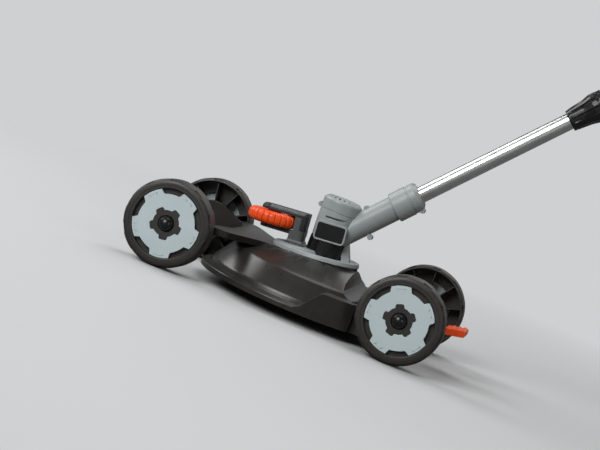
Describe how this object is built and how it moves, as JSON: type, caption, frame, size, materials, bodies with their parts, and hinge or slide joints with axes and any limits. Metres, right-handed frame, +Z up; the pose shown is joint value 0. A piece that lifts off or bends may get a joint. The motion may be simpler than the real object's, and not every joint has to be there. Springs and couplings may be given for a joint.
{
  "type": "wheeled string trimmer",
  "caption": "Corded string trimmer docked in a wheeled mowing deck, with telescopic shaft, orange edge-guide wheel, height slots, release pedal and trigger handle",
  "frame": {"origin": "middle of the whole part's footprint, on the ground plane under the wheels", "axes": "+X points to the front wheels, +Y to the left side with the bare plate, +Z up"},
  "size_m": [1.012, 0.361, 0.9461],
  "materials": {
    "deck_plastic": "semi-gloss moulded, fine grain",
    "wheel_plastic": "moulded, satin",
    "disc_plastic": "pale grey, satin",
    "housing_plastic": "mid grey, fine grain",
    "guard_plastic": "light grey, fine grain",
    "dark_plastic": "dark grey, satin",
    "black_plastic": "black, semi-gloss",
    "grip_rubber": "soft matt",
    "orange_plastic": "orange-red, satin",
    "line_nylon": "smooth filament",
    "steel": "plain bright",
    "bright_tube": "polished",
    "dark_tube": "dark powder coat",
    "brass": "plain"
  },
  "bodies": {
    "deck": {"deck_shell": "deck_plastic", "axle_carriers": "deck_plastic", "line_cutter": "steel", "cutter_screws": "steel", "pedal_pin": "steel", "pedal_spring": "steel"},
    "pedal": {"foot_pedal": "orange_plastic"},
    "front_axle_set": {"front_axle": "steel", "front_axle_caps": "black_plastic"},
    "rear_axle_set": {"rear_axle": "steel", "rear_axle_caps": "black_plastic"},
    "front_left_wheel": {"wheel_front_left": "wheel_plastic", "hubcap_front_left": "disc_plastic"},
    "front_right_wheel": {"wheel_front_right": "wheel_plastic", "hubcap_front_right": "disc_plastic"},
    "rear_left_wheel": {"wheel_rear_left": "wheel_plastic", "hubcap_rear_left": "disc_plastic"},
    "rear_right_wheel": {"wheel_rear_right": "wheel_plastic", "hubcap_rear_right": "disc_plastic"},
    "trimmer": {"guard": "guard_plastic", "guide_post": "guard_plastic", "guide_fork": "dark_plastic", "guide_wheel_pin": "steel", "neck_collar": "black_plastic", "motor_housing_left": "housing_plastic", "motor_housing_right": "housing_plastic", "motor_cap": "housing_plastic", "blank_plate": "black_plastic", "housing_screws": "steel", "motor_can": "steel", "shaft_bushes": "brass", "lower_tube": "bright_tube"},
    "rotor": {"motor_shaft": "steel", "cooling_fan": "dark_plastic", "spool_hub": "black_plastic", "line_spool": "housing_plastic", "wound_line": "line_nylon", "line_ends": "line_nylon", "line_eyelets": "steel", "spool_cap": "black_plastic"},
    "edge_guide": {"guide_wheel": "orange_plastic"},
    "extension": {"tube_collet": "black_plastic"},
    "nut": {"lock_nut": "black_plastic"},
    "handle": {"upper_tube": "dark_tube", "assist_clamp": "dark_plastic", "handle_left": "housing_plastic", "handle_right": "housing_plastic", "handle_screws": "steel", "trigger_pin": "steel", "trigger_spring": "steel", "lock_spring": "steel", "switch_box": "dark_plastic", "mains_inlet": "black_plastic", "inlet_blades": "brass"},
    "assist": {"assist_handle": "dark_plastic", "assist_grip": "grip_rubber"},
    "assist_lock": {"assist_bolt": "steel", "assist_knob": "black_plastic"},
    "trigger_lever": {"trigger": "orange_plastic"},
    "lock_off": {"lock_button": "orange_plastic"}
  },
  "joints": [
    {"name": "front_height", "type": "slide", "parent": "deck", "child": "front_axle_set", "axis": [0, 0, -1], "range_m": [0, 0.02]},
    {"name": "rear_height", "type": "slide", "parent": "deck", "child": "rear_axle_set", "axis": [0, 0, -1], "range_m": [0, 0.02]},
    {"name": "front_left_roll", "type": "hinge", "parent": "front_axle_set", "child": "front_left_wheel", "pos_m": [0.44098, 0.151, 0.065], "axis": [0, 1, 0], "continuous": true},
    {"name": "front_right_roll", "type": "hinge", "parent": "front_axle_set", "child": "front_right_wheel", "pos_m": [0.44098, -0.151, 0.065], "axis": [0, 1, 0], "continuous": true},
    {"name": "rear_left_roll", "type": "hinge", "parent": "rear_axle_set", "child": "rear_left_wheel", "pos_m": [0.07498, 0.151, 0.065], "axis": [0, 1, 0], "continuous": true},
    {"name": "rear_right_roll", "type": "hinge", "parent": "rear_axle_set", "child": "rear_right_wheel", "pos_m": [0.07498, -0.151, 0.065], "axis": [0, 1, 0], "continuous": true},
    {"name": "pedal_press", "type": "hinge", "parent": "deck", "child": "pedal", "pos_m": [0.12198, 0, 0.074], "axis": [0, -1, 0], "range_deg": [0, 8], "stiffness_Nm_per_rad": 1.5, "springref_deg": -5.73},
    {"name": "trimmer_lift", "type": "slide", "parent": "deck", "child": "trimmer", "axis": [0.1045, 0, 0.9945], "range_m": [0, 0.13], "deforming": ["line_ends"]},
    {"name": "motor_spin", "type": "hinge", "parent": "trimmer", "child": "rotor", "pos_m": [0.23398, 0, 0.12], "axis": [0, 0, 1], "continuous": true},
    {"name": "guide_wheel_roll", "type": "hinge", "parent": "trimmer", "child": "edge_guide", "pos_m": [0.32609, 0, 0.11773], "axis": [0.1045, 0, 0.9945], "continuous": true},
    {"name": "shaft_extend", "type": "slide", "parent": "trimmer", "child": "extension", "axis": [-0.6639, 0, 0.7478], "range_m": [-0.1, 0.06]},
    {"name": "nut_turn", "type": "hinge", "parent": "extension", "child": "nut", "pos_m": [-0.05416, 0, 0.44074], "axis": [-0.6639, 0, 0.7478], "range_deg": [0, 90]},
    {"name": "handle_turn", "type": "hinge", "parent": "extension", "child": "handle", "pos_m": [-0.16437, 0, 0.56488], "axis": [-0.6639, 0, 0.7478], "range_deg": [0, 180]},
    {"name": "assist_tilt", "type": "hinge", "parent": "handle", "child": "assist", "pos_m": [-0.16678, 0, 0.61624], "axis": [0, 1, 0], "range_deg": [-30, 40]},
    {"name": "assist_knob_turn", "type": "hinge", "parent": "handle", "child": "assist_lock", "pos_m": [-0.16678, 0, 0.61624], "axis": [0, 1, 0], "continuous": true},
    {"name": "trigger_pull", "type": "hinge", "parent": "handle", "child": "trigger_lever", "pos_m": [-0.36755, 0, 0.76962], "axis": [0, 1, 0], "range_deg": [0, 5.5], "stiffness_Nm_per_rad": 0.8, "springref_deg": -6.88, "deforming": ["trigger_spring"]},
    {"name": "lock_push", "type": "slide", "parent": "handle", "child": "lock_off", "axis": [-0.7478, 0, -0.6639], "range_m": [0, 0.003], "stiffness_N_per_m": 400, "springref_m": -0.002, "deforming": ["lock_spring"]}
  ]
}
